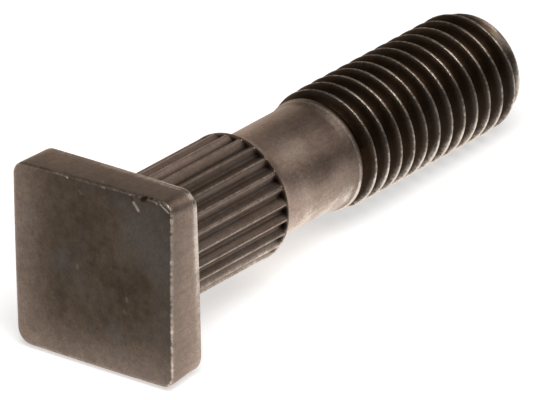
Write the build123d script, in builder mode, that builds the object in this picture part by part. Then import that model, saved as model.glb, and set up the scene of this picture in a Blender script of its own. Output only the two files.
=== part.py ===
from build123d import *
from math import asin, atan2, cos, degrees, hypot, pi, radians, sin, sqrt, tan
import os

os.makedirs("parts", exist_ok=True)

# A square-headed press-in bolt in one piece, sizes in millimetres.
# It is drawn standing on the axis Z with the head's bearing face at z = 0, then laid down as it rests.

# Head: a thin square with round corners.
head_side = 12.0
head_thickness = 2.8
head_corner_radius = 1.35
outer_edge_radius = 0.35
bearing_edge_radius = 0.12

# Serrated shoulder under the head, which bites into the wall of a pressed-in hole.
ridge_count = 25
ridge_radius = 4.08
ridge_top_width = 0.12
ridge_first_angle = 12.2
groove_depth = 0.33
groove_floor_width = 0.16
shoulder_length = 10.85
rim_radius = 4.1
rim_length = 0.1

# Plain shank, thinner than the thread, with a hollow curve up to the rim.
shank_radius = 3.44
shank_fillet_radius = 1.3
shank_end = 17.65
flare_length = 2.1

# Metric thread of 8 mm with a pitch of 1.25 mm, rolled, right hand.
# Its groove starts out of a short cone and runs off through the chamfered point.
thread_radius = 3.9
thread_pitch = 1.25
thread_depth = 0.73
thread_crest_width = thread_pitch / 8
thread_crest_height_at_zero = 20.26
thread_first_turn = -1.93
thread_turns = 14
run_out_start = 18.2
run_out_end = 19.5
run_out_radius = 3.5
groove_clearance = 0.1
under_head_length = 34.45
point_radius = 3.43
point_length = 1.1

# Sizes that follow from those above.
half_side = head_side / 2
rim_start = shoulder_length - rim_length
fillet_drop = rim_radius - shank_radius
fillet_run = sqrt(shank_fillet_radius**2 - (shank_fillet_radius - fillet_drop) ** 2)
fillet_end = shoulder_length + fillet_run
fillet_centre = (shank_radius + shank_fillet_radius, fillet_end)
fillet_half_angle = asin(fillet_run / shank_fillet_radius) / 2
fillet_middle = (
    fillet_centre[0] - shank_fillet_radius * cos(fillet_half_angle),
    fillet_centre[1] - shank_fillet_radius * sin(fillet_half_angle),
)
flare_end = shank_end + flare_length
point_start = under_head_length - point_length
root_radius = thread_radius - thread_depth
flank_slope = tan(radians(30))
root_half_width = (thread_pitch - thread_crest_width) / 2 - thread_depth * flank_slope
mouth_half_width = root_half_width + (thread_depth + groove_clearance) * flank_slope
groove_start = thread_crest_height_at_zero + (thread_first_turn + 0.5) * thread_pitch
ridge_pitch = 2 * pi * ridge_radius / ridge_count
mouth_width = ridge_pitch - ridge_top_width

with BuildPart() as groove_turn:
    # One turn of the thread groove, a section swept along the helix.
    with BuildLine() as helix:
        Helix(
            pitch=thread_pitch,
            height=thread_pitch,
            radius=root_radius,
            center=(0, 0, groove_start),
        )
    with BuildSketch(Plane(origin=helix.line @ 0, x_dir=(1, 0, 0), z_dir=helix.line % 0)):
        with BuildLine():
            Polyline(
                (0, -root_half_width),
                (thread_depth + groove_clearance, -mouth_half_width),
                (thread_depth + groove_clearance, mouth_half_width),
                (0, root_half_width),
                close=True,
            )
        make_face()
    sweep(path=helix.line, is_frenet=True)

with BuildPart() as standing:
    # Shoulder, shank and thread blank in one turning.
    with BuildSketch(Plane.XZ):
        with BuildLine():
            Polyline(
                (0, -head_thickness / 2),
                (ridge_radius, -head_thickness / 2),
                (ridge_radius, rim_start),
                (rim_radius, shoulder_length),
            )
            ThreePointArc(
                (rim_radius, shoulder_length),
                fillet_middle,
                (shank_radius, fillet_end),
            )
            Polyline(
                (shank_radius, fillet_end),
                (shank_radius, shank_end),
                (thread_radius, flare_end),
                (thread_radius, point_start),
                (point_radius, under_head_length),
                (0, under_head_length),
                (0, -head_thickness / 2),
            )
        make_face()
    revolve(axis=Axis.Z)

    # Thread groove, turn by turn.
    for turn in range(thread_turns):
        with Locations((0, 0, turn * thread_pitch)):
            add(groove_turn.part, rotation=(0, 0, 360 * thread_first_turn), mode=Mode.SUBTRACT)

    # Cone in which the first turn of the groove fades out.
    with BuildSketch(Plane.XZ):
        with BuildLine():
            Polyline(
                (0, fillet_end),
                (root_radius, fillet_end),
                (run_out_radius, run_out_start),
                (root_radius - groove_clearance, run_out_end),
                (0, run_out_end),
                close=True,
            )
        make_face()
    revolve(axis=Axis.Z)

    # Straight grooves between the ridges, closed by the rim at their lower end.
    with BuildSketch(Plane.XY):
        with BuildSketch(mode=Mode.PRIVATE) as groove:
            with BuildLine():
                Polyline(
                    (ridge_radius - groove_depth, -groove_floor_width / 2),
                    (ridge_radius, -mouth_width / 2),
                    (ridge_radius + groove_depth, -mouth_width / 2),
                    (ridge_radius + groove_depth, mouth_width / 2),
                    (ridge_radius, mouth_width / 2),
                    (ridge_radius - groove_depth, groove_floor_width / 2),
                    close=True,
                )
            make_face()
        with PolarLocations(0, ridge_count, start_angle=ridge_first_angle + 180 / ridge_count):
            add(groove.sketch)
    extrude(amount=rim_start, mode=Mode.SUBTRACT)

with BuildPart() as head:
    with BuildSketch(Plane.XY.offset(-head_thickness)):
        Rectangle(head_side, head_side)
        fillet(vertices(), radius=head_corner_radius)
    extrude(amount=head_thickness)
    fillet(edges().group_by(Axis.Z)[0], radius=outer_edge_radius)
    fillet(edges().group_by(Axis.Z)[-1], radius=bearing_edge_radius)

# Rest angle: the head's lower edge and the last full thread crest both touch the floor.
contact_drop = half_side - bearing_edge_radius - thread_radius
contact_run = point_start + bearing_edge_radius
contact_reach = hypot(contact_drop, contact_run)
rest_angle = atan2(contact_drop, contact_run) + asin(bearing_edge_radius / contact_reach)

with BuildPart() as upright:
    add(standing.part)
    add(head.part)

# Laid on its side along X, on z = 0 with the middle of its footprint at the origin.
along = (cos(rest_angle), 0, -sin(rest_angle))
tilted = Plane(origin=(0, 0, 0), x_dir=(0, 1, 0), z_dir=along)
box = upright.part.moved(tilted.location).bounding_box()
bearing_centre = (-box.center().X, -box.center().Y, -box.min.Z)
resting = Plane(origin=bearing_centre, x_dir=(0, 1, 0), z_dir=along)

with BuildPart() as bolt:
    add(upright.part.moved(resting.location))

bolt.part.label = "bolt"
export_step(bolt.part, "parts/bolt.step")
print("rest angle", round(degrees(rest_angle), 3))
print("bearing face centre", *bearing_centre)
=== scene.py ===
import math

import bmesh
import bpy
import numpy as np
from mathutils import Matrix, Vector


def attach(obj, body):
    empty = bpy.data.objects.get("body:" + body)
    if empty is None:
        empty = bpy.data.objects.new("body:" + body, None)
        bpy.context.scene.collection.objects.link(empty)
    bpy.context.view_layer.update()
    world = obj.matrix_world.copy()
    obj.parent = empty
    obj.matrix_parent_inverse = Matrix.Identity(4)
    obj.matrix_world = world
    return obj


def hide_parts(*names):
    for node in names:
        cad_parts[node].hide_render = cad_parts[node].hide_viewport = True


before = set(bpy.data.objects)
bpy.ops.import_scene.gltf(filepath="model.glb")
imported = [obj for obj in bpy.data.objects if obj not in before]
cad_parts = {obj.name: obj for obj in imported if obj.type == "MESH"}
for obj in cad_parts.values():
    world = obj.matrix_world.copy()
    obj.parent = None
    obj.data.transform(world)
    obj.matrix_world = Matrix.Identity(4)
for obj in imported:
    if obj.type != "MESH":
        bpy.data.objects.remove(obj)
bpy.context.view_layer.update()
print("frame loaded")

# The bolt is drawn in millimetres, standing on Z with the bearing face of its head at z = 0.
# restingPlace then lays it down in metres, where the CAD solid lies.
millimetre = 0.001
resting = {
    "bearingFaceCentre": (-0.015724077, 0.0, 0.005980943),
    "tiltDegrees": 3.591,
}


def restingPlace():
    tilt = math.radians(resting["tiltDegrees"])
    along = Vector((math.cos(tilt), 0.0, -math.sin(tilt)))
    up = Vector((math.sin(tilt), 0.0, math.cos(tilt)))
    turned = Matrix((Vector((0.0, 1.0, 0.0)), up, along)).transposed().to_4x4()
    return Matrix.Translation(resting["bearingFaceCentre"]) @ turned @ Matrix.Scale(millimetre, 4)


# Small helpers for node trees.

def linkOrSet(tree, socket, value):
    if isinstance(value, bpy.types.NodeSocket):
        tree.links.new(value, socket)
    else:
        socket.default_value = value


def addNode(tree, kind, inputs=None, **settings):
    node = tree.nodes.new(kind)
    for name, value in settings.items():
        setattr(node, name, value)
    for name, value in (inputs or {}).items():
        linkOrSet(tree, node.inputs[name], value)
    return node


def maths(tree, operation, *values):
    node = addNode(tree, "ShaderNodeMath", operation=operation)
    for place, value in enumerate(values):
        linkOrSet(tree, node.inputs[place], value)
    return node.outputs[0]


def mapRange(tree, value, fromLow, fromHigh, toLow=0.0, toHigh=1.0, smooth=False):
    node = addNode(tree, "ShaderNodeMapRange", clamp=True)
    node.interpolation_type = "SMOOTHSTEP" if smooth else "LINEAR"
    for place, item in enumerate((value, fromLow, fromHigh, toLow, toHigh)):
        linkOrSet(tree, node.inputs[place], item)
    return node.outputs[0]


def profileCurve(tree, value, profile):
    # Runs through the given points, straight between them.
    node = addNode(tree, "ShaderNodeFloatCurve", {"Factor": 1.0, "Value": value})
    curve = node.mapping.curves[0]
    curve.points[0].location, curve.points[1].location = profile[0], profile[-1]
    for spot in profile[1:-1]:
        curve.points.new(*spot)
    for item in curve.points:
        item.handle_type = "VECTOR"
    node.mapping.update()
    return node.outputs[0]


# Head: a thin square with round corners, as a shell of rings.
# Seen from the front, its outer face has the right side at -X and the top at +Y.
# Corners go round from the upper left. Wear is bright and rub is lighter than the oxide; both also carry painted
# light in places.
head = {
    "side": 12.0,
    "thickness": 2.8,
    "sideBow": 0.05,
    "frontCornerRadii": (0.95, 0.75, 0.95, 1.05),
    "backCornerRadii": (1.1, 1.05, 1.35, 1.3),
    "pointsPerSide": 240,
    "pointsPerCorner": 60,
    "cornerCrowding": 1.2,
    "lean": 0.012,
    "outerEdgeRadius": (0.28, 0.1),
    "outerEdgeSteps": 8,
    "crispSpread": 1.6,
    "topEdgeNarrowing": 0.38,
    "bearingEdgeRadius": 0.12,
    "bearingEdgeSteps": 4,
    "faceRings": (0.0, 0.09, 0.2, 0.33, 0.46, 0.58, 0.69, 0.77, 0.83, 0.88, 0.915, 0.94, 0.96, 0.975, 0.988),
    "sideRings": (0.06, 0.14, 0.25, 0.37, 0.5, 0.62, 0.73, 0.83, 0.91, 0.955, 0.985),
    "bearingFaceRings": (0.25, 0.5, 0.72, 0.88, 0.96, 1.0),
    "cornerSink": 0.45,
    "jaggedness": 0.3,
    "seed": 7,
    "rimLight": {"most": 0.4, "start": 0.4, "power": 1.6},
    "sideRubAndLight": {"all": 0.42, "right": 0.2, "upperLeft": 0.16, "upperRight": 0.4, "front": 0.9, "growth": 0.5},
    "bearingFaceRub": 0.3,
    "outerEdgeWear": {"all": 0.5, "top": 0.2, "crisp": 0.5, "uneven": 0.1, "unevenCrisp": 0.2, "offUpperRight": 0.4},
    "outerEdgeSpread": {"soft": 0.3, "crisp": 0.3},
    "bearingEdgeWearAndGlint": {"all": 0.5, "upperRight": 1.3, "power": 1.3, "uneven": 0.12, "start": 0.76, "length": 0.16},
}

# Shoulder, shank and thread, as in the CAD source.
shaft = {
    "columnsPerRidge": 12,
    "ridgeCount": 25,
    "ridgeRadius": 4.08,
    "ridgeFirstAngle": 12.2,
    "ridgeTopWidth": 0.12,
    "grooveDepth": 0.33,
    "grooveFloorWidth": 0.16,
    "columnWarp": 0.6,
    "rimRadius": 4.1,
    "rimStart": 10.75,
    "shoulderLength": 10.85,
    "filletRadius": 1.3,
    "shankRadius": 3.44,
    "helixStart": 17.5,
    "flareStart": 17.65,
    "flareEnd": 19.4,
    "threadRadius": 3.9,
    "threadPitch": 1.25,
    "threadDepth": 0.73,
    "crestHeightAtZero": 20.26,
    "runOutStart": 18.2,
    "runOutEnd": 19.2,
    "pointStart": 33.35,
    "pointRadius": 3.43,
    "length": 34.45,
    "shoulderRows": (0.0, 1.2, 2.4, 3.6, 4.8, 6.0, 7.2, 8.4, 9.4, 10.2, 10.6),
    # Beyond the ridges, share of the groove's depth, and height from the rim's start.
    "grooveEndRows": ((0.0, 1.0, -0.03), (0.0, 0.5, -0.005), (0.004, 0.0, 0.015)),
    "rimRow": (-0.006, 0.0, -0.03),
    "filletSteps": 9,
    "shankSteps": 8,
    # Rows across one pitch, from root to root, close together at the crest's edges.
    "threadRows": (-0.5, -0.415, -0.37, -0.235, -0.105, -0.072, -0.042, 0.0, 0.042, 0.072, 0.105, 0.235, 0.37, 0.415),
    # Depth from the middle of the crest to the root, both as shares.
    "threadProfile": (
        (0.0, 0.0), (0.084, 0.012), (0.144, 0.055), (0.21, 0.14), (0.74, 0.93), (0.83, 0.985), (1.0, 1.0),
    ),
    "sparePitches": 4,
    "tipRows": 7,
    "mergeDistance": 0.002,
    "cleanDistance": 0.001,
    "slimmestFace": 0.0005,
    "sharpDegrees": 42,
}

columnCount = shaft["columnsPerRidge"] * shaft["ridgeCount"]


def shoulderAngles():
    # Columns crowd together on the ridge tops, where the edges are.
    turn = np.arange(columnCount) / columnCount * shaft["ridgeCount"]
    part = turn - np.round(turn)
    warped = turn - shaft["columnWarp"] * np.sin(2 * np.pi * part) / (2 * np.pi)
    return math.radians(shaft["ridgeFirstAngle"]) + 2 * np.pi * warped / shaft["ridgeCount"]


def ridgeShares():
    # Half widths of ridge top and groove floor, as the edges of the flank in one ridge pitch.
    pitch = 2 * math.pi * shaft["ridgeRadius"] / shaft["ridgeCount"]
    return shaft["ridgeTopWidth"] / 2 / pitch, 0.5 - shaft["grooveFloorWidth"] / 2 / pitch


def grooveShare(angles):
    # 0 on a ridge top and 1 on a groove floor, straight between the two.
    turn = (angles - math.radians(shaft["ridgeFirstAngle"])) / (2 * np.pi) * shaft["ridgeCount"]
    top, floor = ridgeShares()
    return np.clip((np.abs(turn - np.round(turn)) - top) / (floor - top), 0, 1)


def headOutline(radii):
    # Points and outward normals round the head, one for each column, with its own radius at each corner.
    half, bow = head["side"] / 2, head["sideBow"]
    sideRadius = ((half - bow) ** 2 + bow**2) / (2 * bow)
    middle = half - sideRadius
    # The centre of each corner keeps its distance to both bowed sides.
    centres = [(middle + math.sqrt(2 * (sideRadius - radius) ** 2 - middle**2)) / 2 for radius in radii]
    rows = []
    for quarter in range(4):
        centre, radius, before = centres[quarter], radii[quarter], centres[quarter - 1]
        sideStart = -math.atan2(before, before - middle)
        sideEnd = math.atan2(centre, centre - middle)
        for angle in np.linspace(sideStart, sideEnd, head["pointsPerSide"], endpoint=False):
            rows.append((quarter, middle + sideRadius * math.cos(angle), sideRadius * math.sin(angle), angle))
        for angle in np.linspace(sideEnd, math.pi / 2 - sideEnd, head["pointsPerCorner"], endpoint=False):
            rows.append((quarter, centre + radius * math.cos(angle), centre + radius * math.sin(angle), angle))
    quarters, x, y, angle = np.array(rows).T
    turns = quarters * np.pi / 2
    px, py = x * np.cos(turns) - y * np.sin(turns), x * np.sin(turns) + y * np.cos(turns)
    nx, ny = np.cos(angle + turns), np.sin(angle + turns)
    step = np.hypot(np.roll(px, -1) - px, np.roll(py, -1) - py)
    # Corners get more columns than the straight sides.
    bend = np.hypot(np.roll(nx, -1) - nx, np.roll(ny, -1) - ny)
    run = np.concatenate([[0.0], np.cumsum(step + head["cornerCrowding"] * bend)])
    start = np.interp(math.radians(shaft["ridgeFirstAngle"]), np.unwrap(np.arctan2(py, px)), run[:-1])
    wanted = (start + np.arange(columnCount) / columnCount * run[-1]) % run[-1]
    return [np.interp(wanted, run, np.append(values, values[0])) for values in (px, py, nx, ny)]


def leaning(x, y):
    # The left side leans in towards the top by a hair.
    return np.where(x > 0, x * (1 - head["lean"] * (0.5 + y / head["side"])), x)


def sunk(x, y):
    # The outer face lies deeper towards its upper right corner.
    half = head["side"] / 2
    return head["cornerSink"] * ((half + y) / (2 * half)) ** 2 * (half - x) / (2 * half)


def rimLight(x, y):
    # The outer face is lighter towards its left and lower edges, as painted light.
    half, rub = head["side"] / 2, head["rimLight"]
    start = rub["start"]
    left, lower = (np.clip((way / half - start) / (1 - start), 0, 1) ** rub["power"] for way in (x, -y))
    return rub["most"] * (1 - (1 - left) * (1 - lower))


def headRings():
    # From the middle of the outer face, over the edges, to the root of the shoulder.
    # Each ring is x, y, z, wear and rub, round all columns; wear and rub also carry painted light.
    half, depth, inner = head["side"] / 2, head["thickness"], head["bearingEdgeRadius"]
    px, py, nx, ny = headOutline(head["frontCornerRadii"])
    backX, backY, backNx, backNy = headOutline(head["backCornerRadii"])
    px, backX = leaning(px, py), leaning(backX, backY)
    right, top = np.clip(-nx, 0, 1), np.clip(ny, 0, 1)
    sink = sunk(px, py)
    # The outer edge is crisp and nicked on the right side and soft on the others.
    soft, crisp = head["outerEdgeRadius"]
    outer = soft + (crisp - soft) * np.clip(-head["crispSpread"] * nx, 0, 1) ** 2
    crispness = np.clip((soft - outer) / (soft - crisp), 0, 1)
    chance = np.random.default_rng(head["seed"])
    jagged = chance.uniform(-1, 1, columnCount)
    outer = outer * (1 + head["jaggedness"] * jagged * crispness) * (1 - head["topEdgeNarrowing"] * top)

    faceX, faceY = px - nx * outer, py - ny * outer
    rings = []
    for share in head["faceRings"]:
        x, y = faceX * share, faceY * share
        rings.append((x, y, -depth + sunk(x, y), 0.0, rimLight(x, y)))

    # The outer edge is worn most in the middle of its curve and where it is crisp.
    rub, wearAndHighlight, spread = head["sideRubAndLight"], head["outerEdgeWear"], head["outerEdgeSpread"]
    # The sides are rubbed lighter, and the right side, the left part of the top and the upper right corner are
    # lighter still with painted light.
    sideRubAndLight = rub["all"] + rub["right"] * right + rub["upperLeft"] * top * np.clip(px / half, 0, 1)
    sideRubAndLight = sideRubAndLight + rub["upperRight"] * np.clip(-nx * ny, 0, 0.5)
    onCrisp = (wearAndHighlight["crisp"] + wearAndHighlight["unevenCrisp"] * jagged) * crispness
    edgeWear = wearAndHighlight["all"] + wearAndHighlight["top"] * top + wearAndHighlight["uneven"] * jagged + onCrisp
    edgeWear = (1 - wearAndHighlight["offUpperRight"] * np.clip(-2 * nx * ny, 0, 1)) * edgeWear
    reach = spread["soft"] + spread["crisp"] * crispness
    steps = head["outerEdgeSteps"]
    for step in range(steps + 1):
        angle = math.radians(90 * step / steps)
        inset, rise = outer * (1 - math.sin(angle)), outer * (1 - math.cos(angle))
        worn = edgeWear * (reach + (1 - reach) * math.sin(2 * angle))
        rubbed = rimLight(px, py) + (sideRubAndLight - rimLight(px, py)) * step / steps
        rings.append((px - nx * inset, py - ny * inset, -depth + sink + rise, worn, rubbed))

    # The bearing edge is worn, and towards the upper right corner it gets a painted highlight.
    wearAndHighlight = head["bearingEdgeWearAndGlint"]
    toCorner = np.clip((py - px) / head["side"], 0, 1) ** wearAndHighlight["power"]
    backWearAndGlint = wearAndHighlight["all"] + wearAndHighlight["upperRight"] * toCorner + wearAndHighlight["uneven"] * chance.uniform(-1, 1, columnCount)
    for share in head["sideRings"]:
        blend = share * share * (3 - 2 * share)
        x, y = px + (backX - px) * blend, py + (backY - py) * blend
        z = -depth + sink + outer + share * (depth - sink - outer - inner)
        worn = backWearAndGlint * min(max(share - wearAndHighlight["start"], 0) / wearAndHighlight["length"], 1)
        rings.append((x, y, z, worn, sideRubAndLight * (rub["front"] + rub["growth"] * blend)))
    steps = head["bearingEdgeSteps"]
    for step in range(steps + 1):
        angle = math.radians(90 * step / steps)
        inset, height = inner * (1 - math.cos(angle)), -inner + inner * math.sin(angle)
        rings.append((backX - backNx * inset, backY - backNy * inset, height, backWearAndGlint, sideRubAndLight))

    # The bearing face ends where the ridges and grooves of the shoulder start.
    angles = shoulderAngles()
    rootRadius = shaft["ridgeRadius"] - grooveShare(angles) * shaft["grooveDepth"]
    rootX, rootY = rootRadius * np.cos(angles), rootRadius * np.sin(angles)
    startX, startY = backX - backNx * inner, backY - backNy * inner
    for share in head["bearingFaceRings"]:
        x, y = startX + (rootX - startX) * share, startY + (rootY - startY) * share
        rings.append((x, y, 0.0, 0.0, head["bearingFaceRub"]))
    return rings


def headShell():
    rings = [np.stack(np.broadcast_arrays(*ring), 1) for ring in headRings()]
    values = np.concatenate(rings)
    faces = []
    for row in range(len(rings) - 1):
        here, above = row * columnCount, (row + 1) * columnCount
        for column in range(columnCount):
            beside = (column + 1) % columnCount
            faces.append((here + column, above + column, above + beside, here + beside))
    mesh = bpy.data.meshes.new("headShell")
    mesh.from_pydata(values[:, :3].tolist(), [], faces)
    masks = {"worn": values[:, 3], "rubbed": values[:, 4], "hollow": np.zeros(len(values))}
    for name, mask in masks.items():
        mesh.attributes.new(name, "FLOAT", "POINT").data.foreach_set("value", mask.astype(np.float32))
    return mesh


# Shoulder, shank and thread: a Geometry Nodes tree turns two row sections into the shaft.

def sectionObject(name, points):
    # A row of points that the tree reads by index, so it is never shown.
    mesh = bpy.data.meshes.new(name)
    mesh.from_pydata(points, [(place, place + 1) for place in range(len(points) - 1)], [])
    return bpy.data.objects.new(name, mesh)


def filletSweep():
    # Angle of the hollow curve from the rim down to the shank.
    return math.acos(1 - (shaft["rimRadius"] - shaft["shankRadius"]) / shaft["filletRadius"])


def filletEnd():
    return shaft["shoulderLength"] + shaft["filletRadius"] * math.sin(filletSweep())


def shoulderSection():
    # Each point is radius, share of the groove's depth, height.
    ridge, shank, radius, sweep = shaft["ridgeRadius"], shaft["shankRadius"], shaft["filletRadius"], filletSweep()
    rows = [(ridge, 1.0, height) for height in shaft["shoulderRows"]]
    rows += [(ridge + beyond, share, shaft["rimStart"] + up) for beyond, share, up in shaft["grooveEndRows"]]
    beyond, share, up = shaft["rimRow"]
    rows.append((shaft["rimRadius"] + beyond, share, shaft["shoulderLength"] + up))
    for step in range(shaft["filletSteps"] + 1):
        angle = sweep * (1 - step / shaft["filletSteps"])
        height = shaft["shoulderLength"] + radius * (math.sin(sweep) - math.sin(angle))
        rows.append((shank + radius * (1 - math.cos(angle)), 0.0, height))
    for height in np.linspace(filletEnd(), shaft["helixStart"], shaft["shankSteps"] + 1)[1:]:
        rows.append((shank, 0.0, float(height)))
    return rows


# Where the shaft is worn bright and rubbed lighter, where it gets a painted floor reflection and haze, and where its
# hollows get painted shade.
# Turns are shares of a full turn from +X. Spans are distances in millimetres from a named height of the shaft.
shaftWearAndLight = {
    "lowerTurn": 0.68,
    "upperTurn": 0.14,
    "turnFade": (0.45, 0.88),
    "ridgeTop": 0.74,
    "ridgeTopFade": 0.12,
    "rimSpan": (0.0, 0.12),
    "grooveEndSpan": (-0.8, -0.2),
    "grooveEndFade": 0.4,
    "grooveEndRub": 0.85,
    "grooveEndHollow": 0.35,
    "rimStep": -0.1,
    "rimStepFade": (0.04, 0.12, 0.12, 1.0),
    "rimStepFlank": (0.4, 0.6),
    "flankFade": (0.45, 0.9, 0.5, 0.16),
    "flankUpper": 0.4,
    "shoulderFloorSheen": (0.6, 1.15),
    "shoulderFloorSheenFrom": 3.0,
    "shankRub": (0.95, 0.5),
    "shankRubFrom": 13.0,
    "crest": 0.78,
    "crestLower": 0.95,
    "crestEdge": (0.045, 0.095),
    "crestEdgeLower": 0.06,
    "crestSpan": (-0.4, -0.1),
    "shankFloorSheen": 1.15,
    "shankFloorSheenSpan": (-0.3, 0.2),
    "beforeGroove": 0.5,
    "beforeGrooveSpan": (-0.1, 0.9),
    "onPoint": 0.65,
    "pointSpan": (0.0, 0.3),
    "shallowest": 0.04,
    "atEnd": 1.35,
    "endSpan": (-0.3, 0.0),
    "groovedFade": (0.1, 0.5),
    "groovedSpan": (-0.1, 0.4),
    "groovedHollow": 0.35,
    "lastGroove": 0.12,
    "lastGrooveFrom": -0.3,
    "lastGrooveTo": -0.4,
    "tipEdge": 0.17,
    "tipEdgeWorn": 1.2,
    "tipEdgeRub": 0.3,
}


def shaftTree():
    tree = bpy.data.node_groups.new("ridgedAndThreadedShaft", "GeometryNodeTree")
    inputs = {
        "NodeSocketGeometry": ("Head",),
        "NodeSocketObject": ("Shoulder Section", "Thread Section"),
        "NodeSocketInt": ("Columns", "Shoulder Rows", "Thread Rows", "Tip Rows"),
        "NodeSocketFloat": (
            "Ridges", "First Angle", "Column Warp", "Ridge Top Share", "Groove Floor Share", "Groove Depth",
            "Fillet Start", "Fillet End", "Helix Start", "Shank Radius", "Flare Start", "Flare End", "Thread Radius",
            "Thread Pitch", "Thread Depth", "Crest Height", "Run-Out Start", "Run-Out End",
            "Point Start", "Point Radius", "Length",
        ),
        "NodeSocketMaterial": ("Steel",),
    }
    for kind, names in inputs.items():
        for name in names:
            tree.interface.new_socket(name, in_out="INPUT", socket_type=kind)
    tree.interface.new_socket("Bolt", in_out="OUTPUT", socket_type="NodeSocketGeometry")
    given = tree.nodes.new("NodeGroupInput").outputs
    position = tree.nodes.new("GeometryNodeInputPosition").outputs[0]
    wearAndHighlight, threadRows = shaftWearAndLight, shaft["threadRows"]

    def m(operation, *values):
        return maths(tree, operation, *values)

    def ramp(value, *ends, smooth=False):
        return mapRange(tree, value, *ends, smooth=smooth)

    def near(name, distance):
        return m("ADD", given[name], distance)

    def along(height, name, span, *ends):
        # A ramp between two heights near a named one.
        return ramp(height, near(name, span[0]), near(name, span[1]), *ends)

    def grid(rows):
        return addNode(tree, "GeometryNodeMeshGrid", {
            "Size X": 1.0, "Size Y": 1.0,
            "Vertices X": m("ADD", given["Columns"], 1.0), "Vertices Y": rows,
        }).outputs["Mesh"]

    def sectionPoint(section, row):
        info = addNode(tree, "GeometryNodeObjectInfo", {"Object": section})
        sample = addNode(tree, "GeometryNodeSampleIndex", data_type="FLOAT_VECTOR", domain="POINT", clamp=True)
        tree.links.new(info.outputs["Geometry"], sample.inputs["Geometry"])
        tree.links.new(position, sample.inputs["Value"])
        tree.links.new(row, sample.inputs["Index"])
        return addNode(tree, "ShaderNodeSeparateXYZ", {"Vector": sample.outputs[0]}).outputs

    def setPlace(mesh, turn, radius, height, **masks):
        angle = m("MULTIPLY", turn, 2 * math.pi)
        point = addNode(tree, "ShaderNodeCombineXYZ", {
            "X": m("MULTIPLY", radius, m("COSINE", angle)),
            "Y": m("MULTIPLY", radius, m("SINE", angle)),
            "Z": height,
        }).outputs[0]
        for name, mask in masks.items():
            stored = {"Geometry": mesh, "Name": name, "Value": mask}
            mesh = addNode(
                tree, "GeometryNodeStoreNamedAttribute", stored, data_type="FLOAT", domain="POINT"
            ).outputs[0]
        return addNode(tree, "GeometryNodeSetPosition", {"Geometry": mesh, "Position": point}).outputs[0]

    # The side that lies towards the floor gets a painted reflection of the bright floor, and the top of the shoulder
    # a painted haze of light.
    def towards(turn, middle):
        facing = m("COSINE", m("MULTIPLY", m("SUBTRACT", turn, middle), 2 * math.pi))
        return ramp(facing, *wearAndHighlight["turnFade"], smooth=True)

    # Each grid is one unit wide and high: columns go round in X, rows go up in Y.
    place = addNode(tree, "ShaderNodeSeparateXYZ", {"Vector": position}).outputs
    around, upward = m("ADD", place["X"], 0.5), m("ADD", place["Y"], 0.5)
    firstTurn = m("DIVIDE", given["First Angle"], 2 * math.pi)

    # Ridged shoulder and the hollow curve down to the shank.
    row = m("ROUND", m("MULTIPLY", upward, m("SUBTRACT", given["Shoulder Rows"], 1.0)))
    radius, share, height = sectionPoint(given["Shoulder Section"], row)
    turn = m("MULTIPLY", around, given["Ridges"])
    part = m("SUBTRACT", turn, m("ROUND", turn))
    warp = m("MULTIPLY", given["Column Warp"], ramp(height, given["Fillet Start"], given["Fillet End"], 1.0, 0.0))
    shift = m("DIVIDE", m("MULTIPLY", warp, m("SINE", m("MULTIPLY", part, 2 * math.pi))), 2 * math.pi)
    offTop = m("ABSOLUTE", m("SUBTRACT", part, shift))
    groove = ramp(offTop, given["Ridge Top Share"], given["Groove Floor Share"])
    cut = m("MULTIPLY", groove, share)
    shoulderTurn = m("ADD", firstTurn, m("DIVIDE", m("SUBTRACT", turn, shift), given["Ridges"]))
    beforeRim = along(height, "Fillet Start", wearAndHighlight["rimSpan"], 1.0, 0.0)
    # The ends of the grooves at the rim get painted shade and less rub.
    grooveEnd = m("MULTIPLY", groove, ramp(share, 0.0, wearAndHighlight["grooveEndFade"]))
    grooveEnd = m("MULTIPLY", along(height, "Fillet Start", wearAndHighlight["grooveEndSpan"]), grooveEnd)
    # The narrow step from the ridges to the rim stays dark.
    offStep = m("ABSOLUTE", m("SUBTRACT", height, near("Fillet Start", wearAndHighlight["rimStep"])))
    pale = ramp(offStep, *wearAndHighlight["rimStepFade"])
    onTop = m("MULTIPLY", ramp(groove, 0.0, wearAndHighlight["ridgeTopFade"], 1.0, 0.0), beforeRim)
    onTop = m("MULTIPLY", m("MULTIPLY", onTop, pale), wearAndHighlight["ridgeTop"])
    onShank = ramp(height, wearAndHighlight["shankRubFrom"], given["Helix Start"], *wearAndHighlight["shankRub"])
    onShank = m("MULTIPLY", m("SUBTRACT", 1.0, beforeRim), onShank)
    onStep, besideStep = wearAndHighlight["rimStepFlank"]
    # Flanks are rubbed lighter, and towards the top of the shoulder they also get a painted haze of light.
    flank = m("MULTIPLY", towards(shoulderTurn, wearAndHighlight["upperTurn"]), wearAndHighlight["flankUpper"])
    flank = m("ADD", ramp(cut, *wearAndHighlight["flankFade"]), flank)
    flank = m("MULTIPLY", flank, m("ADD", onStep, m("MULTIPLY", pale, besideStep)))
    flank = m("MULTIPLY", flank, m("SUBTRACT", 1.0, m("MULTIPLY", grooveEnd, wearAndHighlight["grooveEndRub"])))
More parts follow.
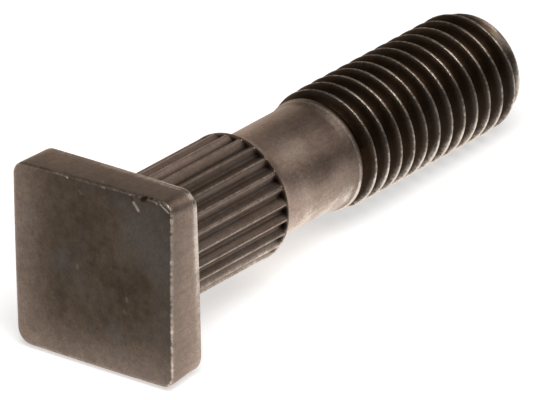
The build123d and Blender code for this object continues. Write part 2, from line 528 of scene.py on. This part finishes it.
    # The lower side of the shoulder gets a painted reflection of the bright floor.
    floorSheen = ramp(height, wearAndHighlight["shoulderFloorSheenFrom"], given["Fillet Start"], *wearAndHighlight["shoulderFloorSheen"])
    floorSheen = m("MULTIPLY", towards(shoulderTurn, wearAndHighlight["lowerTurn"]), floorSheen)
    floorSheen = m("MULTIPLY", floorSheen, m("SUBTRACT", 1.0, m("MULTIPLY", cut, beforeRim)))
    shoulderRadius = m("SUBTRACT", radius, m("MULTIPLY", cut, given["Groove Depth"]))
    shoulder = setPlace(
        grid(given["Shoulder Rows"]), shoulderTurn, shoulderRadius, height,
        worn=m("MAXIMUM", onTop, floorSheen),
        rubbed=m("ADD", m("MULTIPLY", beforeRim, flank), onShank),
        hollow=m("MULTIPLY", grooveEnd, wearAndHighlight["grooveEndHollow"]),
    )

    # Surface and masks of shank and thread at any height and turn.
    def shankAndThread(height, turn):
        flare = ramp(height, given["Flare Start"], given["Flare End"], given["Shank Radius"], given["Thread Radius"])
        point = ramp(height, given["Point Start"], given["Length"], given["Thread Radius"], given["Point Radius"])
        blank = m("MINIMUM", flare, point)
        phase = m("DIVIDE", m("SUBTRACT", height, given["Crest Height"]), given["Thread Pitch"])
        phase = m("SUBTRACT", phase, turn)
        offCrest = m("ABSOLUTE", m("SUBTRACT", phase, m("ROUND", phase)))
        shape = profileCurve(tree, m("MULTIPLY", offCrest, 2.0), shaft["threadProfile"])
        # While the blank still widens, the crest gets lower and keeps half of its sharpness.
        crest = m("MULTIPLY", m("ADD", given["Thread Radius"], blank), 0.5)
        depth = m("ADD", m("SUBTRACT", crest, given["Thread Radius"]), given["Thread Depth"])
        thread = m("SUBTRACT", crest, m("MULTIPLY", shape, depth))
        share = ramp(height, given["Run-Out Start"], given["Run-Out End"], smooth=True)
        cut = m("MULTIPLY", m("MAXIMUM", m("SUBTRACT", blank, thread), 0.0), share)

        # Crests are worn, and on the lower side they are wider and brighter with a painted floor reflection.
        lower = towards(turn, wearAndHighlight["lowerTurn"])
        crestStart, crestEnd = wearAndHighlight["crestEdge"]
        crestEnd = m("ADD", crestEnd, m("MULTIPLY", lower, wearAndHighlight["crestEdgeLower"]))
        onCrest = m("ADD", wearAndHighlight["crest"], m("MULTIPLY", lower, wearAndHighlight["crestLower"]))
        onCrest = ramp(offCrest, crestStart, crestEnd, onCrest, 0.0)
        onCrest = m("MULTIPLY", onCrest, along(height, "Run-Out Start", wearAndHighlight["crestSpan"]))
        # The lower side of the shank gets a painted reflection of the bright floor.
        onShank = along(height, "Run-Out Start", wearAndHighlight["shankFloorSheenSpan"], 1.0, 0.0)
        onShank = m("MULTIPLY", m("MULTIPLY", lower, wearAndHighlight["shankFloorSheen"]), onShank)
        atEnd = along(height, "Length", wearAndHighlight["endSpan"], 0.0, wearAndHighlight["atEnd"])
        worn = m("MAXIMUM", m("MAXIMUM", onCrest, onShank), atEnd)

        beforeGroove = along(height, "Run-Out Start", wearAndHighlight["beforeGrooveSpan"], wearAndHighlight["beforeGroove"], 0.0)
        onPoint = along(height, "Point Start", wearAndHighlight["pointSpan"], 0.0, wearAndHighlight["onPoint"])
        uncut = ramp(cut, 0.0, wearAndHighlight["shallowest"], 1.0, 0.0)
        rubbed = m("MULTIPLY", uncut, m("MAXIMUM", beforeGroove, onPoint))

        # The thread's hollows get painted shade by the depth of their cut and the shape of the grooves; the last
        # groove is lighter where it runs off through the point.
        grooved = along(height, "Run-Out Start", wearAndHighlight["groovedSpan"])
        grooved = m("MULTIPLY", ramp(shape, *wearAndHighlight["groovedFade"]), grooved)
        hollow = m("DIVIDE", cut, given["Thread Depth"])
        hollow = m("MAXIMUM", hollow, m("MULTIPLY", grooved, wearAndHighlight["groovedHollow"]))
        lastStart, lastEnd = near("Point Start", wearAndHighlight["lastGrooveFrom"]), near("Length", wearAndHighlight["lastGrooveTo"])
        hollow = m("MULTIPLY", hollow, ramp(height, lastStart, lastEnd, 1.0, wearAndHighlight["lastGroove"]))
        return m("SUBTRACT", blank, cut), worn, rubbed, hollow

    # Rows follow the helix, so that crests and roots stay clean. Both ends are cut off level.
    row = m("ROUND", m("MULTIPLY", upward, m("SUBTRACT", given["Thread Rows"], 1.0)))
    inPitch = m("MODULO", row, float(len(threadRows)))
    pitchNumber = m("DIVIDE", m("SUBTRACT", row, inPitch), float(len(threadRows)))
    offset = sectionPoint(given["Thread Section"], inPitch)["X"]
    threadTurn = m("ADD", around, firstTurn)
    lowest = m("DIVIDE", m("SUBTRACT", given["Helix Start"], given["Crest Height"]), given["Thread Pitch"])
    lowest = m("ROUND", m("SUBTRACT", lowest, shaft["sparePitches"] / 2))
    turns = m("ADD", m("ADD", lowest, pitchNumber), m("ADD", offset, threadTurn))
    free = m("ADD", given["Crest Height"], m("MULTIPLY", turns, given["Thread Pitch"]))
    height = m("MINIMUM", m("MAXIMUM", free, given["Helix Start"]), given["Length"])
    radius, worn, rubbed, hollow = shankAndThread(height, threadTurn)
    thread = setPlace(grid(given["Thread Rows"]), threadTurn, radius, height, worn=worn, rubbed=rubbed, hollow=hollow)

    # Flat end of the point, drawn in to its middle.
    drawnIn = m("MULTIPLY", shankAndThread(given["Length"], threadTurn)[0], m("SUBTRACT", 1.0, upward))
    nearEdge = ramp(upward, 0.0, wearAndHighlight["tipEdge"], 1.0, 0.0)
    tip = setPlace(
        grid(given["Tip Rows"]), threadTurn, drawnIn, given["Length"],
        worn=m("MULTIPLY", nearEdge, wearAndHighlight["tipEdgeWorn"]),
        rubbed=m("MULTIPLY", nearEdge, wearAndHighlight["tipEdgeRub"]),
        hollow=0.0,
    )

    joined = tree.nodes.new("GeometryNodeJoinGeometry")
    for piece in (tip, thread, shoulder, given["Head"]):
        tree.links.new(piece, joined.inputs[0])
    merging = {"Geometry": joined.outputs[0], "Distance": shaft["mergeDistance"]}
    merged = addNode(tree, "GeometryNodeMergeByDistance", merging)
    realized = addNode(tree, "GeometryNodeRealizeInstances", {"Geometry": merged.outputs[0]})
    painting = {"Geometry": realized.outputs[0], "Material": given["Steel"]}
    painted = addNode(tree, "GeometryNodeSetMaterial", painting)
    tree.links.new(painted.outputs[0], tree.nodes.new("NodeGroupOutput").inputs[0])
    return tree


def buildBolt(steel):
    collection = bpy.context.scene.collection
    draft = bpy.data.objects.new("boltDraft", headShell())
    collection.objects.link(draft)
    shoulderRows = shoulderSection()
    shoulderObject = sectionObject("shoulderSection", shoulderRows)
    threadObject = sectionObject("threadSection", [(offset, 0.0, 0.0) for offset in shaft["threadRows"]])
    ridgeTopShare, grooveFloorShare = ridgeShares()
    pitches = math.ceil((shaft["length"] - shaft["helixStart"]) / shaft["threadPitch"]) + shaft["sparePitches"]
    values = {
        "Shoulder Section": shoulderObject, "Thread Section": threadObject,
        "Columns": columnCount, "Shoulder Rows": len(shoulderRows),
        "Thread Rows": pitches * len(shaft["threadRows"]) + 1, "Tip Rows": shaft["tipRows"],
        "Ridges": float(shaft["ridgeCount"]), "First Angle": math.radians(shaft["ridgeFirstAngle"]),
        "Column Warp": shaft["columnWarp"],
        "Ridge Top Share": ridgeTopShare, "Groove Floor Share": grooveFloorShare,
        "Groove Depth": shaft["grooveDepth"], "Fillet Start": shaft["shoulderLength"], "Fillet End": filletEnd(),
        "Helix Start": shaft["helixStart"],
        "Shank Radius": shaft["shankRadius"], "Flare Start": shaft["flareStart"], "Flare End": shaft["flareEnd"],
        "Thread Radius": shaft["threadRadius"], "Thread Pitch": shaft["threadPitch"],
        "Thread Depth": shaft["threadDepth"], "Crest Height": shaft["crestHeightAtZero"],
        "Run-Out Start": shaft["runOutStart"], "Run-Out End": shaft["runOutEnd"],
        "Point Start": shaft["pointStart"], "Point Radius": shaft["pointRadius"], "Length": shaft["length"],
        "Steel": steel,
    }
    tree = shaftTree()
    identifiers = {item.name: item.identifier for item in tree.interface.items_tree if item.in_out == "INPUT"}
    modifier = draft.modifiers.new("shaft", "NODES")
    modifier.node_group = tree
    for name, value in values.items():
        modifier[identifiers[name]] = value
    bpy.context.view_layer.update()
    evaluated = draft.evaluated_get(bpy.context.evaluated_depsgraph_get())
    mesh = bpy.data.meshes.new_from_object(evaluated)
    draft.modifiers.remove(modifier)
    for item in (draft, shoulderObject, threadObject):
        bpy.data.objects.remove(item)
    shell = bmesh.new()
    shell.from_mesh(mesh)
    bmesh.ops.remove_doubles(shell, verts=shell.verts, dist=shaft["cleanDistance"])
    bmesh.ops.dissolve_degenerate(shell, dist=shaft["slimmestFace"], edges=shell.edges)
    bmesh.ops.recalc_face_normals(shell, faces=shell.faces)
    openEdges = sum(1 for edge in shell.edges if not edge.is_manifold)
    shell.to_mesh(mesh)
    shell.free()
    mesh.transform(restingPlace())
    mesh.name = "boltSteel"
    mesh.shade_smooth()
    mesh.set_sharp_from_angle(angle=math.radians(shaft["sharpDegrees"]))
    bolt = bpy.data.objects.new("boltSteel", mesh)
    collection.objects.link(bolt)
    triangles = sum(len(face.vertices) - 2 for face in mesh.polygons)
    print("bolt", len(mesh.vertices), "points", triangles, "triangles", openEdges, "open edges")
    return bolt


# Dark oxide on steel, worn bright on edges and crests, with painted highlights, reflections and shade.
oxide = {
    "black": (0.050, 0.036, 0.025, 1.0),
    "brown": (0.108, 0.078, 0.054, 1.0),
    "blueGrey": (0.100, 0.092, 0.088, 1.0),
    "hollowAndPitShade": (0.022, 0.010, 0.004, 1.0),
    "rubbedAndLitSteel": (0.56, 0.42, 0.345, 1.0),
    "brightSteelAndHighlight": (0.82, 0.71, 0.61, 1.0),
    "edgeTint": (1.0, 0.91, 0.84, 1.0),
    "metallic": 0.94,
    # Each pattern of noise has its scale, its detail and its roughness.
    "tint": (170.0, 2.0, 0.55),
    "cloud": (230.0, 3.0, 0.55),
    "glint": (650.0, 1.0, 0.55),
    "smudge": (1000.0, 4.0, 0.55),
    "mottle": (1500.0, 4.0, 0.55),
    "fineSmudge": (3000.0, 3.0, 0.55),
    "patch": (3600.0, 2.0, 0.55),
    "streak": (4200.0, 3.0, 0.6),
    "streakLength": 0.06,
    "grain": (9000.0, 2.0, 0.7),
    # Each fade runs between two values of a pattern or mask, from the third number to the fourth or from 0 to 1.
    "brownFade": (0.36, 0.66),
    "tintFade": (0.47, 0.62, 0.0, 0.6),
    "smudgeFade": (0.38, 0.6, 0.76, 1.0),
    "hollowFade": (0.0, 0.35, 0.0, 0.85),
    "patchFade": (0.40, 0.56),
    "glintFade": (0.42, 0.62, 0.5, 1.0),
    "evenSheenFade": (0.85, 1.3, 0.7, 0.1),
    "shadeFade": (0.3, 0.7, 0.72, 1.28),
    "roughFade": (0.3, 0.7, 0.36, 0.50),
    "wornSmoother": 0.14,
    "pitShade": 0.9,
    "lineCore": 0.3,
    "bumpStrength": 0.6,
    "bumpDistance": 0.00002,
    "bumpGrain": 0.5,
    "bumpStreak": 0.4,
    # Marks that start and end lower than this lie on the outer face.
    "faceBelow": -2.3,
    # Each mark goes from one point to another, with its width and its strength.
    "scratchesAndHighlights": (
        ((-3.16, 5.44, -2.8), (-3.50, 5.02, -2.8), 0.13, 0.34),
        ((-5.10, 5.80, -2.79), (-5.70, 5.42, -2.80), 0.09, 0.36),
        # A painted highlight on the front edge at the upper right corner.
        ((-5.22, 5.95, -2.70), (-5.86, 5.60, -2.70), 0.14, 0.36),
        ((-4.52, 5.93, -2.68), (-4.70, 5.90, -2.68), 0.09, 0.4),
        ((-4.75, 5.82, -2.76), (-4.86, 5.74, -2.78), 0.08, 0.35),
        ((1.84, 5.86, -2.74), (1.72, 5.82, -2.76), 0.10, 0.55),
        ((0.30, 5.88, -2.72), (0.20, 5.88, -2.72), 0.09, 0.45),
        ((-0.55, 5.97, -2.5), (-0.62, 5.99, -2.4), 0.08, 0.4),
        ((-0.84, 5.86, -2.74), (-0.98, 5.84, -2.74), 0.10, 0.45),
        ((-2.75, 5.88, -2.72), (-2.90, 5.86, -2.74), 0.10, 0.45),
        ((1.10, 0.32, -2.8), (1.08, 0.16, -2.8), 0.14, 0.06),
        ((-2.58, -0.85, -2.8), (-2.61, -1.02, -2.8), 0.14, 0.055),
        ((-2.40, -1.70, -2.8), (-2.43, -1.82, -2.8), 0.12, 0.045),
        ((0.86, 5.20, -2.8), (0.72, 5.05, -2.8), 0.12, 0.05),
        # Two painted glints on the bearing edge of the right side.
        ((-5.95, 5.00, -0.16), (-5.97, 4.72, -0.12), 0.26, 1.0),
        ((-5.99, 3.95, -0.10), (-5.99, 3.45, -0.08), 0.20, 0.9),
        # A painted highlight patch on the shank.
        ((-2.2, 2.75, 13.4), (-2.2, 2.75, 14.2), 1.0, 0.28),
    ),
    "pits": (
        ((-3.80, 5.80, -2.78), (-3.98, 5.87, -2.73), 0.24, 1.0),
        ((-3.30, 5.87, -2.73), (-3.38, 5.87, -2.73), 0.12, 0.7),
        ((-4.30, 5.92, -2.68), (-4.42, 5.93, -2.66), 0.12, 0.8),
        ((-2.94, 5.78, -2.78), (-3.30, 5.36, -2.8), 0.10, 0.6),
        ((-5.16, 5.87, -2.74), (-5.78, 5.52, -2.75), 0.07, 0.9),
        ((1.62, 5.86, -2.74), (1.45, 5.84, -2.74), 0.09, 0.6),
        ((0.10, 5.88, -2.72), (-0.10, 5.88, -2.72), 0.08, 0.6),
        ((-0.32, 1.75, -2.8), (-0.69, 1.46, -2.8), 0.12, 0.2),
        ((-3.0, 0.6, 14.6), (-3.2, 0.9, 15.4), 1.25, 0.42),
    ),
}


def lineGroup():
    # A line from start to end, with its full strength at its core and 0 beyond its width.
    group = bpy.data.node_groups.new("lineMark", "ShaderNodeTree")
    for name in ("Point", "Start", "End"):
        group.interface.new_socket(name, in_out="INPUT", socket_type="NodeSocketVector")
    for name in ("Width", "Strength"):
        group.interface.new_socket(name, in_out="INPUT", socket_type="NodeSocketFloat")
    group.interface.new_socket("Mask", in_out="OUTPUT", socket_type="NodeSocketFloat")
    given = group.nodes.new("NodeGroupInput").outputs

    def subtract(a, b):
        node = addNode(group, "ShaderNodeVectorMath", {0: a, 1: b}, operation="SUBTRACT")
        return node.outputs["Vector"]

    def scaled(vector, share):
        node = addNode(group, "ShaderNodeVectorMath", {"Vector": vector, "Scale": share}, operation="SCALE")
        return node.outputs["Vector"]

    def dot(a, b):
        node = addNode(group, "ShaderNodeVectorMath", {0: a, 1: b}, operation="DOT_PRODUCT")
        return node.outputs["Value"]

    line = subtract(given["End"], given["Start"])
    out = subtract(given["Point"], given["Start"])
    share = maths(group, "DIVIDE", dot(out, line), dot(line, line))
    share = maths(group, "MINIMUM", maths(group, "MAXIMUM", share, 0.0), 1.0)
    away = subtract(out, scaled(line, share))
    gap = maths(group, "SQRT", dot(away, away))
    core = maths(group, "MULTIPLY", given["Width"], oxide["lineCore"])
    mask = mapRange(group, gap, core, given["Width"], given["Strength"], 0.0)
    group.links.new(mask, group.nodes.new("NodeGroupOutput").inputs[0])
    return group


def oxideSteel():
    material = bpy.data.materials.new("darkOxideSteel")
    material.use_nodes = True
    tree = material.node_tree
    tree.nodes.clear()
    coordinates = tree.nodes.new("ShaderNodeTexCoord").outputs["Object"]
    line = lineGroup()

    def m(operation, *values):
        return maths(tree, operation, *values)

    def weighted(first, share, second):
        return m("ADD", m("MULTIPLY", first, share), m("MULTIPLY", second, 1.0 - share))

    def fade(value, name):
        return mapRange(tree, value, *oxide[name])

    def noise(name, vector=coordinates):
        scale, detail, roughness = oxide[name]
        node = addNode(tree, "ShaderNodeTexNoise", {
            "Vector": vector, "Scale": scale, "Detail": detail, "Roughness": roughness,
        })
        return node.outputs["Fac"]

    def mask(name):
        return addNode(tree, "ShaderNodeAttribute", attribute_name=name).outputs["Fac"]

    def mixColour(share, low, high):
        node = addNode(tree, "ShaderNodeMix", {"Factor": share}, data_type="RGBA")
        linkOrSet(tree, node.inputs["A"], low)
        linkOrSet(tree, node.inputs["B"], high)
        return node.outputs["Result"]

    def markPlace(point):
        # Marks of the outer face follow it where it lies deeper.
        x, y, z = point
        sink = sunk(x, y) if z < oxide["faceBelow"] else 0.0
        return restingPlace() @ Vector((x, y, z + sink))

    def lines(marks):
        strongest = None
        for start, end, width, strength in marks:
            node = tree.nodes.new("ShaderNodeGroup")
            node.node_tree = line
            tree.links.new(coordinates, node.inputs["Point"])
            node.inputs["Start"].default_value = markPlace(start)
            node.inputs["End"].default_value = markPlace(end)
            node.inputs["Width"].default_value = width * millimetre
            node.inputs["Strength"].default_value = strength
            strongest = node.outputs[0] if strongest is None else m("MAXIMUM", strongest, node.outputs[0])
        return strongest

    drawnOut = addNode(tree, "ShaderNodeMapping", {
        "Vector": coordinates,
        "Rotation": (0.0, math.radians(-resting["tiltDegrees"]), 0.0),
        "Scale": (oxide["streakLength"], 1.0, 1.0),
    }).outputs[0]
    cloud, mottle, grain, streak = noise("cloud"), noise("mottle"), noise("grain"), noise("streak", drawnOut)
    worn, rubbed, hollow = mask("worn"), mask("rubbed"), mask("hollow")

    colour = mixColour(fade(weighted(cloud, 0.5, mottle), "brownFade"), oxide["black"], oxide["brown"])
    colour = mixColour(fade(noise("tint"), "tintFade"), colour, oxide["blueGrey"])
    # Hollows get painted shade.
    colour = mixColour(fade(hollow, "hollowFade"), colour, oxide["hollowAndPitShade"])
    smudged = fade(weighted(noise("smudge"), 0.5, noise("fineSmudge")), "smudgeFade")
    # Rub makes the steel lighter; on the head's face edges and sides and at the top of the shoulder this is painted
    # light.
    colour = mixColour(m("MULTIPLY", rubbed, smudged), colour, oxide["rubbedAndLitSteel"])
    # Wear is patchy where it is slight, and even where the mask is strongest, as in the painted floor reflection and
    # highlights.
    patchy = fade(weighted(noise("patch"), 0.7, grain), "patchFade")
    uneven = m("MULTIPLY", fade(worn, "evenSheenFade"), m("SUBTRACT", 1.0, patchy))
    wearAndHighlight = m("MULTIPLY", m("MULTIPLY", worn, worn), fade(noise("glint"), "glintFade"))
    wearAndHighlight = m("MULTIPLY", wearAndHighlight, m("SUBTRACT", 1.0, uneven))

    # Pits are dark dents, darkened further with painted shade.
    pitted = lines(oxide["pits"])
    colour = mixColour(m("MULTIPLY", pitted, oxide["pitShade"]), colour, oxide["hollowAndPitShade"])
    wearAndHighlight = m("MAXIMUM", m("MULTIPLY", wearAndHighlight, m("SUBTRACT", 1.0, pitted)), lines(oxide["scratchesAndHighlights"]))
    # Wear and painted highlights take the bright steel colour.
    colour = mixColour(wearAndHighlight, colour, oxide["brightSteelAndHighlight"])
    shade = fade(weighted(grain, 0.7, streak), "shadeFade")
    shaded = addNode(tree, "ShaderNodeHueSaturation", {"Color": colour, "Value": shade}).outputs[0]
    # Bright worn steel is smoother than the oxide.
    rough = fade(weighted(cloud, 0.4, grain), "roughFade")
    rough = m("SUBTRACT", rough, m("MULTIPLY", wearAndHighlight, oxide["wornSmoother"]))
    height = m("ADD", m("MULTIPLY", grain, oxide["bumpGrain"]), mottle)
    height = m("ADD", height, m("MULTIPLY", streak, oxide["bumpStreak"]))
    bump = addNode(tree, "ShaderNodeBump", {
        "Strength": oxide["bumpStrength"], "Distance": oxide["bumpDistance"], "Height": m("SUBTRACT", height, pitted),
    })
    steel = addNode(tree, "ShaderNodeBsdfPrincipled", {
        "Base Color": shaded, "Metallic": oxide["metallic"], "Roughness": rough, "Normal": bump.outputs[0],
        "Specular Tint": oxide["edgeTint"],
    })
    tree.links.new(steel.outputs[0], tree.nodes.new("ShaderNodeOutputMaterial").inputs["Surface"])
    return material


bolt = buildBolt(oxideSteel())
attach(bolt, "root")
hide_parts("bolt")

# Floor, light and camera. The backdrop fades with the height and the depth of a ray's direction.
stage = {
    "floorSize": 1.2,
    "floorColour": (0.82, 0.82, 0.82, 1.0),
    "floorGlow": 0.54,
    "poolMiddle": (0.0, 0.06, 0.0),
    "poolRadii": (0.064, 0.105),
    "poolOutside": 0.3,
    "backdrop": (1.0, 0.93, 0.85, 1.0),
    "backdropHeight": (0.12, 0.42),
    "backdropBehind": (-0.1, 0.45),
    "room": (0.078, 0.073, 0.067, 1.0),
    "white": (1.0, 1.0, 1.0, 1.0),
}


def mixShaders(tree, share, first, second):
    mix = addNode(tree, "ShaderNodeMixShader", {"Fac": share})
    tree.links.new(first.outputs[0], mix.inputs[1])
    tree.links.new(second.outputs[0], mix.inputs[2])
    return mix.outputs[0]


def whiteFloor():
    material = bpy.data.materials.new("whiteFloor")
    material.use_nodes = True
    tree = material.node_tree
    tree.nodes.clear()
    rays = tree.nodes.new("ShaderNodeLightPath").outputs
    glow = maths(tree, "MULTIPLY", rays["Is Camera Ray"], stage["floorGlow"])
    paint = addNode(tree, "ShaderNodeBsdfDiffuse", {"Color": stage["floorColour"]}).outputs[0]
    glowing = addNode(tree, "ShaderNodeEmission", {"Strength": glow}).outputs[0]
    seen = addNode(tree, "ShaderNodeAddShader", {0: paint, 1: glowing})
    # In the steel the floor shows white about the bolt and fades off farther out.
    place = tree.nodes.new("ShaderNodeTexCoord").outputs["Object"]
    offPool = addNode(tree, "ShaderNodeVectorMath", {0: place, 1: stage["poolMiddle"]}, operation="DISTANCE")
    pool = mapRange(tree, offPool.outputs["Value"], *stage["poolRadii"], 1.0, stage["poolOutside"], smooth=True)
    mirrored = addNode(tree, "ShaderNodeEmission", {"Strength": pool})
    surface = mixShaders(tree, rays["Is Glossy Ray"], seen, mirrored)
    tree.links.new(surface, tree.nodes.new("ShaderNodeOutputMaterial").inputs["Surface"])
    half = stage["floorSize"] / 2
    mesh = bpy.data.meshes.new("floor")
    mesh.from_pydata([(-half, -half, 0), (half, -half, 0), (half, half, 0), (-half, half, 0)], [], [(0, 1, 2, 3)])
    mesh.materials.append(material)
    floor = bpy.data.objects.new("floor", mesh)
    bpy.context.scene.collection.objects.link(floor)


def studioWorld():
    world = bpy.data.worlds.new("studio")
    world.use_nodes = True
    tree = world.node_tree
    tree.nodes.clear()
    seen = tree.nodes.new("ShaderNodeLightPath").outputs["Is Camera Ray"]
    generated = tree.nodes.new("ShaderNodeTexCoord").outputs["Generated"]
    direction = addNode(tree, "ShaderNodeSeparateXYZ", {"Vector": generated}).outputs
    # A white backdrop stands low behind the bolt, the rest of the room is dim.
    low = mapRange(tree, direction["Z"], *stage["backdropHeight"], 1.0, 0.0, smooth=True)
    behind = mapRange(tree, direction["Y"], *stage["backdropBehind"], smooth=True)
    sky = addNode(tree, "ShaderNodeMix", {"Factor": maths(tree, "MULTIPLY", low, behind)}, data_type="RGBA")
    sky.inputs["A"].default_value = stage["room"]
    sky.inputs["B"].default_value = stage["backdrop"]
    soft = addNode(tree, "ShaderNodeBackground", {"Color": sky.outputs["Result"], "Strength": 1.0})
    white = addNode(tree, "ShaderNodeBackground", {"Color": stage["white"], "Strength": 1.0})
    surface = mixShaders(tree, seen, soft, white)
    tree.links.new(surface, tree.nodes.new("ShaderNodeOutputWorld").inputs["Surface"])
    bpy.context.scene.world = world


lamps = {
    "topBox": {"at": (-0.14, -0.18, 0.40), "size": 0.30, "power": 1.7, "colour": (1.0, 1.0, 1.0)},
    "rightBox": {"at": (0.31, -0.21, 0.26), "size": 0.30, "power": 0.12, "colour": (1.0, 0.92, 0.87)},
}


def softBoxes():
    for name, lamp in lamps.items():
        light = bpy.data.lights.new(name, "AREA")
        light.shape = "SQUARE"
        light.size = lamp["size"]
        light.energy = lamp["power"]
        light.color = lamp["colour"]
        box = bpy.data.objects.new(name, light)
        box.location = lamp["at"]
        box.rotation_euler = (-Vector(lamp["at"])).to_track_quat("-Z", "Y").to_euler()
        bpy.context.scene.collection.objects.link(box)


camera = {
    "at": (-0.4923213, -0.4129061, 0.3338046),
    "turned": (0.760778815, 0.479636628, -0.202736232, -0.387378782),
    "sensorWidth": 36.0,
    "lens": 810.507,
    "clip": (0.05, 20.0),
}


def photoCamera():
    data = bpy.data.cameras.new("camera")
    data.sensor_width = camera["sensorWidth"]
    data.lens = camera["lens"]
    data.clip_start, data.clip_end = camera["clip"]
    viewer = bpy.data.objects.new("camera", data)
    viewer.location = camera["at"]
    viewer.rotation_mode = "QUATERNION"
    viewer.rotation_quaternion = camera["turned"]
    bpy.context.scene.collection.objects.link(viewer)
    bpy.context.scene.camera = viewer


whiteFloor()
studioWorld()
softBoxes()
photoCamera()
bpy.context.scene.view_settings.view_transform = "Standard"
print("stage ready")
